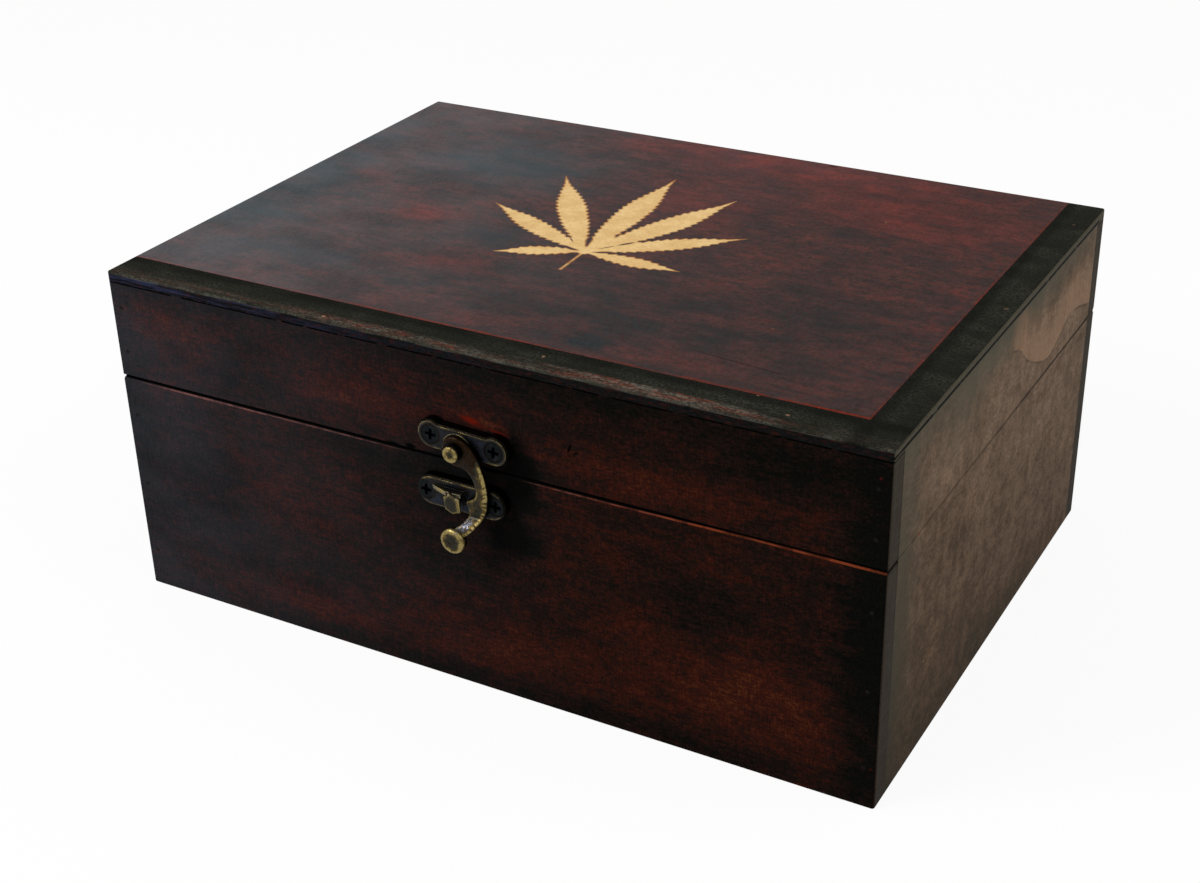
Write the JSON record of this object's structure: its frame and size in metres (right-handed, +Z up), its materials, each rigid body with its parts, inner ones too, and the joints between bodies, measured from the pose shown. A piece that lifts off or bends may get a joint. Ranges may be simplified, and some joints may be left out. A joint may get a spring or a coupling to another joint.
{
  "type": "hinged wooden box",
  "caption": "Small flat-topped wooden box with a hinged lid, a palmate leaf inlay, a dark edge band and an antique swing-hook clasp",
  "frame": {"origin": "middle of the flat underside, between the outer faces of the boards", "axes": "+X to the right seen from the clasp side, +Y towards the hinges, +Z up"},
  "size_m": [0.24, 0.1809, 0.105],
  "materials": {
    "field_veneer": "maroon-brown stain, worn, satin",
    "band_veneer": "near-black stain, satin",
    "leaf_veneer": "pale unstained veneer",
    "front_board_wood": "dark red-brown stain, worn",
    "side_board_wood": "faded grey-brown stain",
    "back_board_wood": "dark red-brown stain, worn",
    "panel_wood": "plain inside, stained edge",
    "clasp_casting": "antique brass, dark in the hollows",
    "clasp_screw_steel": "black oxide, cross recess",
    "brad_steel": "plain steel",
    "hinge_brass": "tarnished brass"
  },
  "bodies": {
    "base": {"base_back_board": "back_board_wood", "base_bottom_brads": "brad_steel", "base_bottom_panel": "panel_wood", "base_corner_brads": "brad_steel", "base_front_board": "front_board_wood", "base_left_board": "side_board_wood", "base_right_board": "side_board_wood", "catch_plate": "clasp_casting", "catch_plate_screws": "clasp_screw_steel", "hinge_base_screws": "hinge_brass", "hinge_left_base_leaf": "hinge_brass", "hinge_left_pin": "hinge_brass", "hinge_right_base_leaf": "hinge_brass", "hinge_right_pin": "hinge_brass"},
    "lid": {"hinge_left_lid_leaf": "hinge_brass", "hinge_lid_screws": "hinge_brass", "hinge_right_lid_leaf": "hinge_brass", "hook_plate": "clasp_casting", "hook_plate_screws": "clasp_screw_steel", "hook_rivet": "clasp_casting", "leaf_inlay": "leaf_veneer", "lid_back_rail": "back_board_wood", "lid_corner_brads": "brad_steel", "lid_field_veneer": "field_veneer", "lid_front_banding": "band_veneer", "lid_front_rail": "front_board_wood", "lid_left_rail": "side_board_wood", "lid_right_banding": "band_veneer", "lid_right_rail": "side_board_wood", "lid_top_brads": "brad_steel", "lid_top_panel": "panel_wood"},
    "hook": {"swing_hook": "clasp_casting"}
  },
  "joints": [
    {"name": "lid_hinge", "type": "hinge", "parent": "base", "child": "lid", "pos_m": [0, 0.08445, 0.072], "axis": [-1, 0, 0], "range_deg": [0, 98]},
    {"name": "hook_swing", "type": "hinge", "parent": "lid", "child": "hook", "pos_m": [-0.00025, -0.086, 0.0776], "axis": [0, -1, 0], "range_deg": [-12, 100]}
  ]
}
